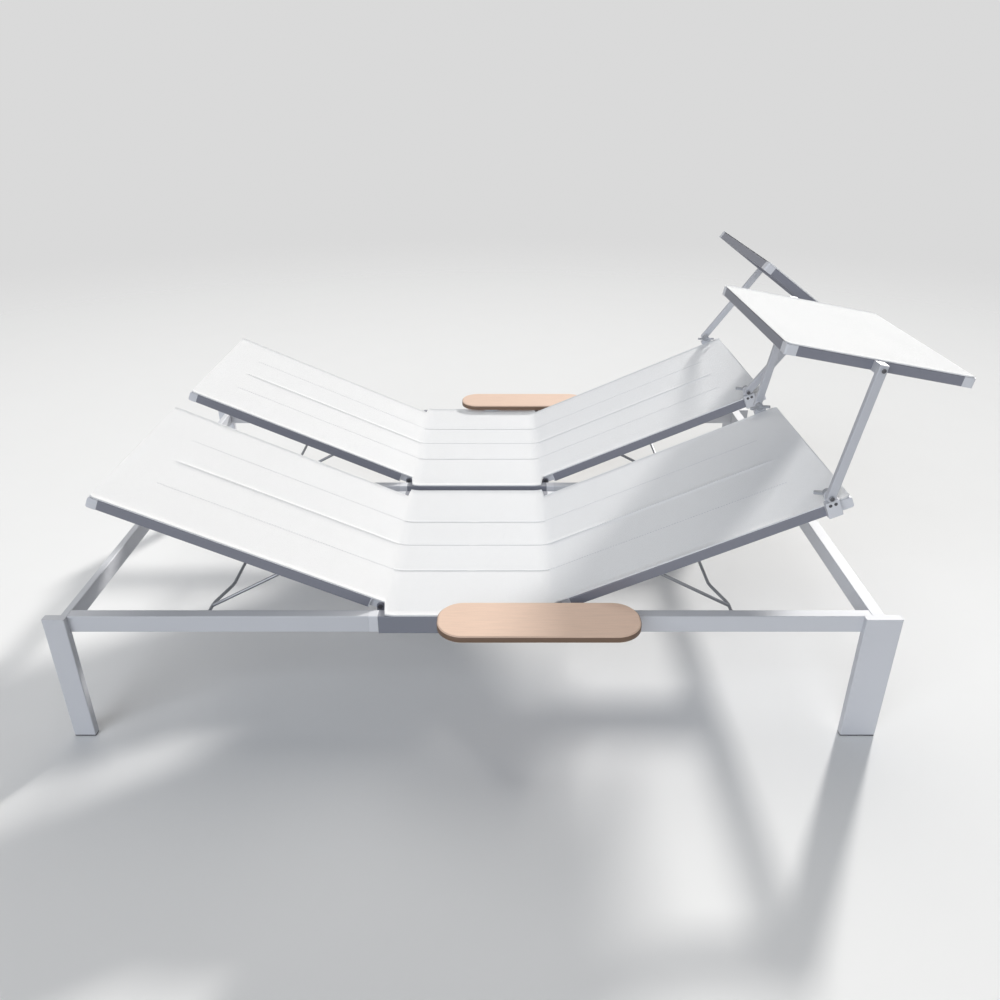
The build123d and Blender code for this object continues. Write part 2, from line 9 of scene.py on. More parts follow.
import bmesh
import bpy
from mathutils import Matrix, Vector


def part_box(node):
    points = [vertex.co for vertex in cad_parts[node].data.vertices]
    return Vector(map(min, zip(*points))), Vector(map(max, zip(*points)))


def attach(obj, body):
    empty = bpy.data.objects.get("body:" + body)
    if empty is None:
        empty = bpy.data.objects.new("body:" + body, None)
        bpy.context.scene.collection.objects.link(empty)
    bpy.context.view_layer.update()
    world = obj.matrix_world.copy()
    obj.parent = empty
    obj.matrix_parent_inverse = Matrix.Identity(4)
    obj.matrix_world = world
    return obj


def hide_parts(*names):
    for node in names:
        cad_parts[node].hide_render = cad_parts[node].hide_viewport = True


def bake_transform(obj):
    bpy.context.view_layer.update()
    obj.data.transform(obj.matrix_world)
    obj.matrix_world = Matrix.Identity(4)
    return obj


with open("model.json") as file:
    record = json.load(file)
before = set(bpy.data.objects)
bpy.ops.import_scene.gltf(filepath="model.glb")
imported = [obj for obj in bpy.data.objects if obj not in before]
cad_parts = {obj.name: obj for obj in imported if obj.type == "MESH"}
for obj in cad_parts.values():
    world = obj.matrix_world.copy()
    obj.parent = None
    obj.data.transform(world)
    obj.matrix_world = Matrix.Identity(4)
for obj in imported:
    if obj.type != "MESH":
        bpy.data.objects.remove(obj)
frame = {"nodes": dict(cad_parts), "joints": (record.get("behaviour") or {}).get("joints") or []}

LOG = logging.getLogger("lounger")
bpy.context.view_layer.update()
CLOTH_MAP = "cloth_lengths"
COLOUR_MIX_SOCKETS = (0, 6, 7)
MM = 0.001
ACROSS = Vector((0, 1, 0))
UPWARDS = Vector((0, 0, 1))
Colour = tuple[float, float, float]
Skin = tuple[list[Vector], list[list[int]]]
Node = bpy.types.Node
Socket = bpy.types.NodeSocket


class Place(Enum):
    """The two places of the lounger, as the node names call them."""

    NEAR = "near"
    FAR = "far"


class Half(Enum):
    """The two hinged sections of a place."""

    LEG = "leg"
    BACK = "back"


def joint(name: str) -> dict:
    """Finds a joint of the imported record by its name."""
    return next(item for item in frame["joints"] if item["name"] == name)


def span(node: str, origin: Vector, direction: Vector) -> tuple[float, float]:
    """Measures a CAD node along a direction.

    Args:
        node: The node's name.
        origin: The point that counts as zero.
        direction: The unit vector to measure along.

    Returns:
        The lowest and highest distance of the node's corners.
    """
    reach = [(vertex.co - origin).dot(direction) for vertex in frame["nodes"][node].data.vertices]
    return min(reach), max(reach)


def broad_normal(node: str) -> Vector:
    """Finds the upward normal of the broadest face of a flat CAD node.

    Args:
        node: The node's name.

    Returns:
        The unit normal, pointing up.
    """
    faces = frame["nodes"][node].data.polygons
    normal = max(faces, key=lambda face: face.area).normal.copy()
    return normal if normal.z > 0 else -normal


def smooth(value: float) -> float:
    """Eases a value from 0 to 1 with level ends."""
    part = min(max(value, 0.0), 1.0)
    return part * part * (3 - 2 * part)


def arc_share(part: float) -> float:
    """Gives the height of a quarter circle of radius 1 at a part of its width."""
    return math.sqrt(1 - (1 - min(part, 1.0)) ** 2)


def full_turn(count: int) -> list[float]:
    """Lists evenly spaced angles of a full turn."""
    return [math.tau * step / count for step in range(count)]


class ShaderTree:
    """A node tree with short calls to add its nodes and to feed their sockets."""

    def __init__(self, tree: bpy.types.NodeTree, end: Node, start: Node | None = None) -> None:
        """Keeps the tree, the node at its end and, in a group, the node with the group's inputs."""
        self.tree, self.end, self.start = tree, end, start

    def feed(self, target: Socket, value: object) -> None:
        """Gives an input what it takes.

        Args:
            target: The input.
            value: The output to link it to, or its plain value.
        """
        if isinstance(value, Socket):
            self.tree.links.new(value, target)
        else:
            target.default_value = (*value, 1.0) if target.type == "RGBA" else value

    def fill(self, node: Node, values: dict[str, object]) -> Node:
        """Sets a node's properties and feeds its inputs.

        Args:
            node: The node.
            values: What each property or input takes, with _ for blanks in an input's name.

        Returns:
            The same node.
        """
        for name, value in values.items():
            if hasattr(node, name):
                setattr(node, name, value)
            else:
                self.feed(node.inputs[name.replace("_", " ")], value)
        return node

    def add(self, kind: str, **values: object) -> Node:
        """Adds a node of a type, named without its common prefix, and fills it."""
        return self.fill(self.tree.nodes.new("ShaderNode" + kind), values)

    def put(self, **values: object) -> None:
        """Feeds the node at the end of the tree."""
        self.fill(self.end, values)

    def given(self, name: str) -> Socket:
        """Gives an input of the group."""
        return self.start.outputs[name]

    def place(self) -> Socket:
        """Adds the place on the object, in metres."""
        return self.add("TexCoord").outputs["Object"]

    def math(self, operation: str, *terms: object, kind: str = "Math", output: str = "Value") -> Socket:
        """Adds a node that works out a number, or a vector.

        Args:
            operation: The operation's name.
            terms: Outputs or plain values, in order.
            kind: The node's type.
            output: The name of the output that holds the result.

        Returns:
            The result's socket.
        """
        node = self.add(kind, operation=operation)
        for target, term in zip(node.inputs, terms):
            self.feed(target, term)
        return node.outputs[output]

    def stretch(self, vector: Socket, scale: tuple[float, float, float]) -> Socket:
        """Multiplies a vector by a scale for each axis."""
        return self.math("MULTIPLY", vector, scale, kind="VectorMath", output="Vector")

    def noise(self, vector: Socket, **values: object) -> Socket:
        """Adds the level of a noise over a vector."""
        return self.add("TexNoise", Vector=vector, **values).outputs["Fac"]

    def blend(self, mask: Socket, low: Socket | Colour, high: Socket | Colour) -> Socket:
        """Mixes two colours by a mask.

        Args:
            mask: The factor's socket.
            low: The colour where the mask is 0.
            high: The colour where the mask is 1.

        Returns:
            The mixed colour's socket.
        """
        node = self.add("Mix", data_type="RGBA")
        for number, value in zip(COLOUR_MIX_SOCKETS, (mask, low, high)):
            self.feed(node.inputs[number], value)
        return node.outputs[2]

    def bump(self, height: Socket, depth: float, **base: Socket) -> Socket:
        """Raises the surface, or the Normal given, by a height from 0 to 1 times a depth in metres."""
        return self.add("Bump", Strength=1.0, Distance=depth, Height=height, **base).outputs["Normal"]


@dataclass(frozen=True)
class EffectGroup:
    """A shader node group with named inputs and outputs, built once."""

    name: str
    inputs: tuple[tuple[str, str, float], ...]
    outputs: tuple[tuple[str, str], ...]
    draw: Callable[[ShaderTree], None]

    def group(self) -> bpy.types.NodeTree:
        """Gives the group, and builds it the first time.

        Returns:
            The shader node group.
        """
        if self.name in bpy.data.node_groups:
            return bpy.data.node_groups[self.name]
        made = bpy.data.node_groups.new(self.name, "ShaderNodeTree")
        for name, kind, value in self.inputs:
            socket = made.interface.new_socket(name, in_out="INPUT", socket_type="NodeSocket" + kind)
            if kind == "Float":
                socket.default_value = value
        for name, kind in self.outputs:
            made.interface.new_socket(name, in_out="OUTPUT", socket_type="NodeSocket" + kind)
        start, end = made.nodes.new("NodeGroupInput"), made.nodes.new("NodeGroupOutput")
        self.draw(ShaderTree(made, end, start))
        return made

    def place(self, tree: ShaderTree, **values: object) -> bpy.types.NodeOutputs:
        """Places the group in a material with its own values, and gives its outputs."""
        return tree.add("Group", node_tree=self.group(), **values).outputs


def draw_edge(tree: ShaderTree) -> None:
    """Draws the mask of edges, broken up as rubbed paint is, and a normal that rounds them.

    Args:
        tree: The group's tree.
    """
    rounded = tree.add("Bevel", samples=6, Radius=tree.given("Radius")).outputs["Normal"]
    plain = tree.add("NewGeometry").outputs["Normal"]
    turned = tree.math("SUBTRACT", 1.0, tree.math("DOT_PRODUCT", rounded, plain, kind="VectorMath"))
    patches = tree.noise(tree.place(), Scale=38.0, Detail=5.0)
    broken = tree.math("MULTIPLY", turned, tree.math("POWER", patches, 2.0))
    shown = tree.math("MULTIPLY", broken, tree.given("Amount"))
    tree.put(Mask=tree.math("MINIMUM", shown, 1.0), Normal=rounded)


def draw_grain(tree: ShaderTree) -> None:
    """Draws the fine orange peel of a sprayed or moulded skin and its slow shifts of tone.

    Args:
        tree: The group's tree.
    """
    place = tree.place()
    tree.put(Height=tree.noise(place, Scale=tree.given("Scale"), Detail=3.0, Roughness=0.55),
             Tone=tree.noise(place, Scale=5.0, Detail=4.0))


def draw_dust(tree: ShaderTree) -> None:
    """Draws the thin film of dust that settles on what faces up.

    Args:
        tree: The group's tree.
    """
    facing = tree.add("SeparateXYZ", Vector=tree.add("NewGeometry").outputs["Normal"])
    level = tree.math("POWER", tree.math("MAXIMUM", facing.outputs["Z"], 0.0), 2.0)
    spots = tree.noise(tree.place(), Scale=9.0, Detail=8.0, Roughness=0.65)
    film = tree.math("MULTIPLY", level, spots)
    tree.put(Mask=tree.math("MULTIPLY", film, tree.given("Amount")))


def draw_weave(tree: ShaderTree) -> None:
    """Draws a basket weave of round yarns with painted shade in its holes, from the cloth's own lengths in
    metres.

    Args:
        tree: The group's tree.
    """
    lengths = tree.given("Vector")
    parts = tree.add("SeparateXYZ", Vector=lengths)
    turns = [tree.math("DIVIDE", parts.outputs[axis], tree.given("Pitch")) for axis in "XY"]
    warp, weft = (tree.math("ABSOLUTE", tree.math("SINE", tree.math("MULTIPLY", turn, math.pi)))
                  for turn in turns)
    cells = tree.math("ADD", *(tree.math("FLOOR", turn) for turn in turns))
    over = tree.math("MODULO", tree.math("ABSOLUTE", cells), 2.0)
    under = tree.math("SUBTRACT", 1.0, over)
    lift = tree.math("ADD", tree.math("MULTIPLY", warp, over), tree.math("MULTIPLY", weft, under))
    holes = tree.math("SUBTRACT", 1.0, tree.math("MAXIMUM", warp, weft))
    drawn_out = tree.stretch(lengths, (1.0, 14.0, 1.0))
    # the second output is a mask of painted shade for the holes between the yarns
    tree.put(Height=lift, Gap=tree.math("MULTIPLY", holes, tree.given("HoleShadeShare")),
             Slub=tree.noise(drawn_out, Scale=60.0, Detail=2.0))


def draw_board(tree: ShaderTree) -> None:
    """Draws the long fine grain and the pores of an oiled board.

    Args:
        tree: The group's tree.
    """
    drawn_out = tree.stretch(tree.place(), (1.0, 11.0, 11.0))
    tree.put(Grain=tree.noise(drawn_out, Scale=tree.given("Scale"), Detail=6.0, Roughness=0.6,
                              Distortion=0.35),
             Pores=tree.noise(drawn_out, Scale=420.0, Detail=3.0))


EDGE = EffectGroup("rounded_worn_edge", (("Radius", "Float", 0.0015), ("Amount", "Float", 1.0)),
                   (("Mask", "Float"), ("Normal", "Vector")), draw_edge)
GRAIN = EffectGroup("fine_grain", (("Scale", "Float", 900.0),),
                    (("Height", "Float"), ("Tone", "Float")), draw_grain)
DUST = EffectGroup("settled_dust", (("Amount", "Float", 0.3),), (("Mask", "Float"),), draw_dust)
WEAVE = EffectGroup("sling_weave", (("Vector", "Vector", 0.0), ("Pitch", "Float", 0.002),
                                    ("HoleShadeShare", "Float", 0.5)),
                    (("Height", "Float"), ("Gap", "Float"), ("Slub", "Float")), draw_weave)
BOARD = EffectGroup("board_grain", (("Scale", "Float", 14.0),),
                    (("Grain", "Float"), ("Pores", "Float")), draw_board)


@dataclass(frozen=True)
class Finish:
    """What every finish has: its colour, darkest and lightest tone, roughness and relief in metres."""

    name: str
    colour: Colour
    tones: tuple[float, float] = (0.965, 1.035)
    roughness: float = 0.5
    spread: float = 0.0
    relief: float = 0.08 * MM

    def shade(self, factor: float) -> Colour:
        """Makes the colour lighter or darker by a factor."""
        return tuple(min(part * factor, 1.0) for part in self.colour)

    def toned(self, tree: ShaderTree, mask: Socket) -> Socket:
        """Shifts the colour from its darkest to its lightest tone by a mask."""
        darkest, lightest = self.tones
        return tree.blend(mask, self.shade(darkest), self.shade(lightest))

    def rough(self, tree: ShaderTree, mask: Socket) -> Socket:
        """Spreads the roughness about its middle by a mask."""
        return tree.math("MULTIPLY_ADD", mask, self.spread, self.roughness - self.spread / 2)

    def draw(self, tree: ShaderTree) -> None:
        """Draws the finish into the shader. Each kind of finish does this in its own way."""
        raise NotImplementedError

    def material(self) -> bpy.types.Material:
        """Gives the finish's material, and draws it the first time.

        Returns:
            The material.
        """
        label = f"{self.name}_finish"
        if label in bpy.data.materials:
            return bpy.data.materials[label]
        made = bpy.data.materials.new(label)
        made.use_nodes = True
        made.diffuse_color = (*self.colour, 1.0)
        self.draw(ShaderTree(made.node_tree, made.node_tree.nodes["Principled BSDF"]))
        return made


@dataclass(frozen=True)
class RubbedSkin(Finish):
    """A skin with a fine grain and slow shifts of tone, rubbed brighter along its edges."""

    grain: float = 900.0
    edge_radius: float = 1.4 * MM
    wear: float = 0.5
    worn_tone: float = 1.35
    dust: float = 0.0
    dust_colour: Colour = (0.62, 0.6, 0.57)
    metal: float = 0.0

    def draw(self, tree: ShaderTree) -> None:
        """Draws the skin with its grain, tone shifts, rubbed edges and dust.

        Args:
            tree: The material's tree.
        """
        grain = GRAIN.place(tree, Scale=self.grain)
        edge = EDGE.place(tree, Radius=self.edge_radius, Amount=self.wear)
        colour = tree.blend(edge["Mask"], self.toned(tree, grain["Tone"]), self.shade(self.worn_tone))
        if self.dust:
            colour = tree.blend(DUST.place(tree, Amount=self.dust)["Mask"], colour, self.dust_colour)
        tree.put(Base_Color=colour, Metallic=self.metal,
                 Roughness=self.rough(tree, grain["Tone"]) if self.spread else self.roughness,
                 Normal=tree.bump(grain["Height"], self.relief, Normal=edge["Normal"]))


@dataclass(frozen=True)
class PowderCoat(RubbedSkin):
    """Sprayed and baked paint on aluminium, with a thin gloss of its own."""

    roughness: float = 0.46
    spread: float = 0.12
    relief: float = 0.05 * MM
    dust: float = 0.16
    gloss: float = 0.04
    gloss_roughness: float = 0.3

    def draw(self, tree: ShaderTree) -> None:
        """Draws the rubbed paint and its gloss."""
        super().draw(tree)
        tree.put(Coat_Weight=self.gloss, Coat_Roughness=self.gloss_roughness)


@dataclass(frozen=True)
class Steel(RubbedSkin):
    """Drawn or plated steel with fine scratches and dull patches."""

    tones: tuple[float, float] = (0.8, 1.15)
    roughness: float = 0.36
    spread: float = 0.2
    relief: float = 0.03 * MM
    grain: float = 1400.0
    edge_radius: float = 0.6 * MM
    wear: float = 0.6
    worn_tone: float = 1.6
    metal: float = 0.9


@dataclass(frozen=True)
class MouldedPlastic(RubbedSkin):
    """Moulded plastic with a fine spark-eroded skin and scuffed edges."""

    tones: tuple[float, float] = (0.9, 1.1)
    grain: float = 1300.0
    edge_radius: float = 1.0 * MM
    wear: float = 0.7
    worn_tone: float = 1.7
    dust: float = 0.2
    dust_colour: Colour = (0.5, 0.48, 0.45)


@dataclass(frozen=True)
class SlingCloth(Finish):
    """Coated polyester yarn in an open basket weave, with painted shade in the holes between the yarns."""

    tones: tuple[float, float] = (0.955, 1.03)
    roughness: float = 0.855
    spread: float = 0.15
    relief: float = 0.35 * MM
    pitch: float = 1.9 * MM
    # painted shade: how strongly and how dark the holes between the yarns are drawn
    hole_shade_share: float = 0.5
    hole_shade_tone: float = 0.55
    sheen: float = 0.02
    sheen_roughness: float = 0.5
    specular: float = 0.08

    def draw(self, tree: ShaderTree) -> None:
        """Draws the weave in the cloth's own lengths, which its coordinate map holds in metres, and paints
        shade into its holes.

        Args:
            tree: The material's tree.
        """
        lengths = tree.add("UVMap", uv_map=CLOTH_MAP).outputs["UV"]
        weave = WEAVE.place(tree, Vector=lengths, Pitch=self.pitch, HoleShadeShare=self.hole_shade_share)
        yarn = self.toned(tree, weave["Slub"])
        # the holes between the yarns are darkened as painted shade
        tree.put(Base_Color=tree.blend(weave["Gap"], yarn, self.shade(self.hole_shade_tone)),
                 Roughness=self.rough(tree, weave["Slub"]), Sheen_Weight=self.sheen,
                 Sheen_Roughness=self.sheen_roughness, Specular_IOR_Level=self.specular,
                 Normal=tree.bump(weave["Height"], self.relief))


@dataclass(frozen=True)
class SewingThread(Finish):
    """Twisted polyester thread."""

    tones: tuple[float, float] = (0.75, 1.15)
    roughness: float = 0.55
    twist: float = 900.0

    def draw(self, tree: ShaderTree) -> None:
        """Draws the thread's twist as a fine band.

        Args:
            tree: The material's tree.
        """
        twist = GRAIN.place(tree, Scale=self.twist)["Height"]
        tree.put(Base_Color=self.toned(tree, twist), Roughness=self.roughness,
                 Normal=tree.bump(twist, self.relief))


@dataclass(frozen=True)
class OiledBoard(Finish):
    """Fine-grained board with an oiled face."""

    tones: tuple[float, float] = (0.86, 1.12)
    spread: float = 0.16
    relief: float = 0.06 * MM
    scale: float = 16.0
    pore_contrast: float = 3.0
    pore_tone: float = 0.72
    edge_radius: float = 1.2 * MM
    wear: float = 0.5
    worn_tone: float = 1.2

    def draw(self, tree: ShaderTree) -> None:
        """Draws the grain, the pores and the rubbed edge of the board.

        Args:
            tree: The material's tree.
        """
        board = BOARD.place(tree, Scale=self.scale)
        edge = EDGE.place(tree, Radius=self.edge_radius, Amount=self.wear)
        grained = self.toned(tree, board["Grain"])
        pores = tree.math("POWER", board["Pores"], self.pore_contrast)
        porous = tree.blend(pores, grained, self.shade(self.pore_tone))
        tree.put(Base_Color=tree.blend(edge["Mask"], porous, self.shade(self.worn_tone)),
                 Roughness=self.rough(tree, board["Grain"]),
                 Normal=tree.bump(board["Pores"], self.relief, Normal=edge["Normal"]))


@dataclass(frozen=True)
class StudioPaint(Finish):
    """Matt paint of the studio floor with a faint roller texture, which fades out with distance."""

    tones: tuple[float, float] = (0.99, 1.01)
    roughness: float = 0.9
    roller: float = 60.0
    fade_start: float = 1.2
    fade_end: float = 7.0

    def draw(self, tree: ShaderTree) -> None:
        """Draws the paint and its fade.

        Args:
            tree: The material's tree.
        """
        grain = GRAIN.place(tree, Scale=self.roller)
        fade = tree.add("MapRange", interpolation_type="SMOOTHSTEP", From_Min=self.fade_start,
                        From_Max=self.fade_end, To_Min=1.0, To_Max=0.0,
                        Value=tree.math("LENGTH", tree.place(), kind="VectorMath"))
        tree.put(Base_Color=self.toned(tree, grain["Tone"]), Roughness=self.roughness,
                 Specular_IOR_Level=0.0, Alpha=fade.outputs["Result"])


LIGHT_PAINT = PowderCoat("light_powder_coat", (0.58, 0.59, 0.625), roughness=0.68, metal=0.12)
SLATE_PAINT = PowderCoat("slate_powder_coat", (0.215, 0.22, 0.26))
SEAT_PAINT = PowderCoat("seat_rail_powder_coat", (0.21, 0.22, 0.26))
CAP_PAINT = PowderCoat("cast_cap_coat", (0.64, 0.65, 0.69), roughness=0.55, wear=0.8, metal=0.15)
ARM_PAINT = PowderCoat("shade_arm_coat", (0.53, 0.54, 0.58), roughness=0.55, metal=0.15)
CLOTH = SlingCloth("white_sling_cloth", (0.9, 0.905, 0.92))
SHADE_CLOTH = SlingCloth("white_shade_cloth", (0.9, 0.905, 0.915), pitch=1.2 * MM, hole_shade_share=0.25,
                         relief=0.2 * MM)
THREAD = SewingThread("grey_sewing_thread", (0.5, 0.52, 0.58))
TABLE_BOARD = OiledBoard("table_board", (0.745, 0.535, 0.415))
TABLE_EDGE = OiledBoard("table_edge_band", (0.17, 0.105, 0.068), scale=30.0, roughness=0.55)
PLATED_STEEL = Steel("zinc_plated_steel", (0.3, 0.31, 0.33))
PIN_STEEL = Steel("dull_pin_steel", (0.13, 0.13, 0.14), roughness=0.5)
GREY_PLASTIC = MouldedPlastic("grey_moulded_plastic", (0.36, 0.37, 0.4))
DARK_PLASTIC = MouldedPlastic("dark_moulded_plastic", (0.04, 0.04, 0.045))
FLOOR_PAINT = StudioPaint("studio_paint", (0.81, 0.81, 0.812))

NODE_FINISHES: tuple[tuple[str, Finish], ...] = (
    ("leg_glides", DARK_PLASTIC), ("beam_connectors", CAP_PAINT), ("hinge_pins", PIN_STEEL),
    ("hinge_tongues", CAP_PAINT), ("hinge_ears", SLATE_PAINT),
    ("seat_rails", SEAT_PAINT), ("side_rails", SLATE_PAINT), ("shade_rails", SLATE_PAINT),
    ("cross_tubes", SLATE_PAINT), ("corner_caps", CAP_PAINT), ("shade_corners", CAP_PAINT),
    ("shade_saddles", CAP_PAINT), ("shade_arms", ARM_PAINT), ("wing_knob", GREY_PLASTIC),
    ("stay_guides", SLATE_PAINT), ("stay_near", PLATED_STEEL), ("stay_far", PLATED_STEEL),
    ("table_top", TABLE_BOARD), ("table_brackets", LIGHT_PAINT), ("", LIGHT_PAINT),
)


def dress_cad_nodes() -> None:
    """Gives every CAD node the finish that its name calls for."""
    for name, node in frame["nodes"].items():
        finish = next(found for words, found in NODE_FINISHES if words in name)
        if not node.material_slots:
            node.data.materials.append(finish.material())
        for place in node.material_slots:
            place.link = "OBJECT"
            place.material = finish.material()
    LOG.info("dressed %d CAD nodes", len(frame["nodes"]))


def make_piece(name: str, points: Sequence[Vector], faces: Sequence[Sequence[int]],
               finish: Finish) -> bpy.types.Object:
    """Makes a smooth-shaded mesh object and reports it.

    Args:
        name: The piece's name.
        points: Its corners, in the frame, in metres.
        faces: Corner numbers of each face.
        finish: The finish that it takes.

    Returns:
        The new object, linked to the scene.
    """
    mesh = bpy.data.meshes.new(name)
    mesh.from_pydata([tuple(point) for point in points], [], [tuple(face) for face in faces])
    mesh.validate()
    work = bmesh.new()
    work.from_mesh(mesh)
    bmesh.ops.recalc_face_normals(work, faces=work.faces)
    work.to_mesh(mesh)
    work.free()
    mesh.shade_smooth()
    piece = bpy.data.objects.new(name, mesh)
    bpy.context.scene.collection.objects.link(piece)
    mesh.materials.append(finish.material())
    LOG.info("built %s with %d faces", name, len(mesh.polygons))
    return piece


def loft(rings: Sequence[Sequence[Vector]], around: bool = False) -> Skin:
    """Skins closed rings of equal count.

    Args:
        rings: The rings in order, each a list of points.
        around: Joins the last ring to the first, where the two ends are closed otherwise.

    Returns:
        The points and the faces, the two end caps last.
    """
    count, rows = len(rings[0]), len(rings)
    points = [point for ring in rings for point in ring]
    faces = []
    for row in range(rows if around else rows - 1):
        low, high = row * count, (row + 1) % rows * count
        for place in range(count):
            after = (place + 1) % count
            faces.append([low + place, low + after, high + after, high + place])
    if not around:
        faces.append(list(reversed(range(count))))
        faces.append(list(range((rows - 1) * count, rows * count)))
    return points, faces


def gather(skins: Iterable[Skin]) -> Skin:
    """Joins several skins into one.

    Args:
        skins: The points and the faces of each.

    Returns:
        The points and the faces of all.
    """
    points: list[Vector] = []
    faces: list[list[int]] = []
    for more_points, more_faces in skins:
        faces += [[corner + len(points) for corner in face] for face in more_faces]
        points += more_points
    return points, faces


@dataclass
class Station:
    """One place along a cloth: a point of its underside line, its up direction and its width."""

    point: Vector
    up: Vector
    along: float
    half_width: float
    height_share: float = 1.0
    seat_share: float = 0.0
    sag_share: float = 1.0


@dataclass(frozen=True)
class ClothEnd:
    """How a cloth ends: its rings' distances from the tip, its corners' radius and its rolled edge's."""

    steps: tuple[float, ...]
    corner: float
    roll: float

    def station(self, point: Vector, up: Vector, along: float, near: float, half_width: float) -> Station:
        """Makes a station that gets narrower and thinner towards the end.

        Args:
            point: The point of the underside line.
            up: The up direction there.
            along: The distance from the cloth's first tip.
            near: The distance from the nearest tip.
            half_width: Half of the full width.

        Returns:
            The station.
        """
        inset = self.corner * (1 - arc_share(near / self.corner))
        return Station(point, up, along, half_width - inset, arc_share(near / self.roll))


SLING_END = ClothEnd((0.15 * MM, 0.5 * MM, 1.1 * MM, 2 * MM, 4 * MM, 7 * MM, 12 * MM), 12 * MM, 2 * MM)
SHADE_END = ClothEnd((0.15 * MM, 0.5 * MM, 1.1 * MM, 2 * MM, 4 * MM, 8 * MM, 14 * MM), 14 * MM, 1.5 * MM)


@dataclass
class Cloth:
    """A taut cloth, drawn ring by ring along its length.

    The bead is the round piping of its edges, which joins it at an angle in degrees. Each seam is a
    sewn fold, whose height is a base and a wave that fall off to both sides.
    """

    name: str
    centre_y: float
    stations: list[Station]
    thickness: float = 1.6 * MM
    lift: float = 1.0 * MM
    sag: float = 1.8 * MM
    side_columns: int = 14
    edge_share: float = 0.995
    bead: float = 2.0 * MM
    bead_steps: int = 8
    bead_join: float = 35.0
    bead_gap: float = 0.5 * MM
    seams: tuple[float, ...] = ()
    seam_start: float = 0.0
    seam_ease: float = 12 * MM
    seam_height: float = 0.9 * MM
    seam_half: float = 3.2 * MM
    seam_margin: float = 1.2
    seam_columns: tuple[float, ...] = (0.0, 0.3, 0.6, 1.0)
    fold_base: float = 0.35
    fold_wave: float = 0.65
    fold_fall: float = 0.3
    edge_drop: float = 0.0
    drop_reach: float = 14 * MM
    inner_half: float = 0.0
    finish: Finish = CLOTH

    def column_shares(self) -> list[float]:
        """Lists the places of the lengthwise columns, from -1 to 1 of the half width.

        Returns:
            The places in order, with extra columns beside each seam.
        """
        widest = max(station.half_width for station in self.stations)
        plain = [step / self.side_columns for step in range(-self.side_columns, self.side_columns + 1)]
        extra = [seam / widest + side * self.seam_half * part / widest
                 for seam in self.seams for side in (-1, 1) for part in self.seam_columns]
        near = self.seam_half * self.seam_margin / widest
        kept = [share for share in plain if all(abs(share - seam / widest) > near for seam in self.seams)]
        return sorted({round(share, 5) for share in kept + extra if abs(share) < self.edge_share})

    def seam_lift(self, across: float, along: float) -> float:
        """Gives the height of a seam's fold at a place of the cloth.

        Args:
            across: The distance from the cloth's middle line.
            along: The distance from the cloth's tip.

        Returns:
            The height above the plain cloth.
        """
        lift = 0.0
        for seam in self.seams:
            part = abs(across - seam) / self.seam_half
            if part < 1:
                wave = math.cos(part * math.pi) * self.fold_wave
                lift += self.seam_height * (wave + self.fold_base - part * self.fold_fall)
        return lift * smooth((along - self.seam_start) / self.seam_ease)

    def dip(self, across: float, half_width: float) -> float:
        """Gives how far the cloth sags at a distance from its middle line."""
        return self.sag * (1 - min(1.0, abs(across) / half_width) ** 2) ** 2

    def point(self, station: Station, across: float, height: float) -> Vector:
        """Finds a point of the cloth at a station.

        Args:
            station: The place along the cloth.
            across: The distance from the middle line.
            height: The height over the underside line, where no end rounds it off.

        Returns:
            The point.
        """
        beyond = smooth((abs(across) - self.inner_half) / self.drop_reach) if self.inner_half else 0.0
        drop = self.edge_drop * station.seat_share * beyond
        place = station.point + station.up * (self.bead + (height - self.bead) * station.height_share)
        return Vector((place.x, self.centre_y + across, place.z - drop))

    def piping(self, station: Station, side: int) -> list[Vector]:
        """Draws the round piping of one edge, from its join on top to its join below.

        Args:
            station: The place along the cloth.
            side: The edge, -1 or 1.

        Returns:
            The piping's points at the station.
        """
        join = math.radians(self.bead_join)
        turn = (math.tau - 2 * join) / self.bead_steps
        centre = side * (station.half_width - self.bead)
        angles = [join + turn * step for step in range(self.bead_steps + 1)]
        return [self.point(station, centre - side * math.cos(angle) * self.bead,
                           self.bead + self.bead * math.sin(angle)) for angle in angles]

    def ring(self, station: Station, shares: Sequence[float]) -> list[Vector]:
        """Makes the closed ring of points round the cloth at one station.

        Args:
            station: The place along the cloth.
            shares: The places of the columns across it.

        Returns:
            The ring's points.
        """
        half = station.half_width
        inner = half - self.bead * (1 + math.cos(math.radians(self.bead_join))) - self.bead_gap
        top, low = [], []
        for share in shares:
            across = max(-inner, min(inner, share * max(half, self.inner_half)))
            height = self.lift - self.dip(across, half) * station.sag_share * station.height_share
            fold = self.seam_lift(across, station.along)
            top.append(self.point(station, across, height + self.thickness + fold))
            low.append(self.point(station, across, height))
        return self.piping(station, -1)[::-1] + top + self.piping(station, 1) + low[::-1]

    def build(self) -> bpy.types.Object:
        """Builds the cloth and its map of lengths.

        Returns:
            The cloth's object.
        """
        shares = self.column_shares()
        rings = [self.ring(station, shares) for station in self.stations]
        piece = make_piece(self.name, *loft(rings), self.finish)
        caps = list(piece.data.polygons)[-2:]
        rims = {key for cap in caps for key in cap.edge_keys}
        for edge in piece.data.edges:
            edge.use_edge_sharp = edge.key in rims
        lengths = piece.data.uv_layers.new(name=CLOTH_MAP)
        count = len(rings[0])
        for loop in piece.data.loops:
            station = self.stations[loop.vertex_index // count]
            across = piece.data.vertices[loop.vertex_index].co.y - self.centre_y
            lengths.data[loop.index].uv = (station.along, across)
        return piece

    def flat_area(self) -> float:
        """Adds up the cloth's flat area between its stations."""
        pairs = zip(self.stations, self.stations[1:])
        return sum((after.along - before.along) * (after.half_width + before.half_width)
                   for before, after in pairs)


